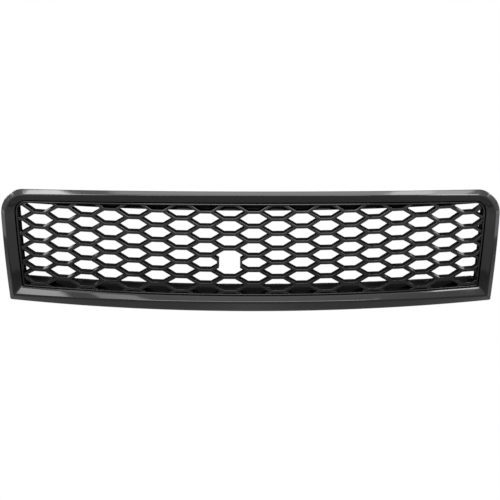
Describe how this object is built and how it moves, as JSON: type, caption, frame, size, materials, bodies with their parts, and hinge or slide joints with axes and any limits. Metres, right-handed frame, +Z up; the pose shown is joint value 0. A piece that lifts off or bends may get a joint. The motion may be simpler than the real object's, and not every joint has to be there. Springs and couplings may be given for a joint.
{
  "type": "front grille",
  "caption": "Wide honeycomb front grille for a saloon car: gloss bevelled frame around a bowed mesh insert, with bolting tabs, spring clips and locating pins.",
  "frame": {"origin": "midway between the two inner top bolt holes, on the upper face of their sleeves", "axes": "+X to the right as seen from in front, +Y to the rear of the car, +Z up; the face of the grille looks along -Y"},
  "size_m": [0.819, 0.1392, 0.1932],
  "materials": {
    "gloss_frame": "smooth high-gloss black moulding",
    "satin_insert": "satin black moulding",
    "zinc_steel": "zinc-plated turned steel",
    "spring_steel": "grey phosphated spring steel",
    "black_screw_steel": "black-plated steel",
    "seal_foam": "closed-cell foam",
    "collar_rubber": "moulded rubber",
    "pad_foam": "thin adhesive-backed foam"
  },
  "bodies": {
    "root": {"surround": "gloss_frame", "honeycomb_insert": "satin_insert", "sleeve_outer_left": "zinc_steel", "sleeve_inner_left": "zinc_steel", "sleeve_inner_right": "zinc_steel", "sleeve_outer_right": "zinc_steel", "clip_far_left": "spring_steel", "clip_left": "spring_steel", "clip_middle": "spring_steel", "clip_right": "spring_steel", "clip_far_right": "spring_steel", "top_screws": "black_screw_steel", "bottom_screws": "black_screw_steel", "left_screws": "black_screw_steel", "right_screws": "black_screw_steel", "rear_seal_top": "seal_foam", "rear_seal_bottom": "seal_foam", "rear_seal_left": "seal_foam", "rear_seal_right": "seal_foam", "pin_collar_left": "collar_rubber", "pin_collar_right": "collar_rubber", "bottom_pad_far_left": "pad_foam", "bottom_pad_left": "pad_foam", "bottom_pad_right": "pad_foam", "bottom_pad_far_right": "pad_foam"}
  },
  "joints": []
}
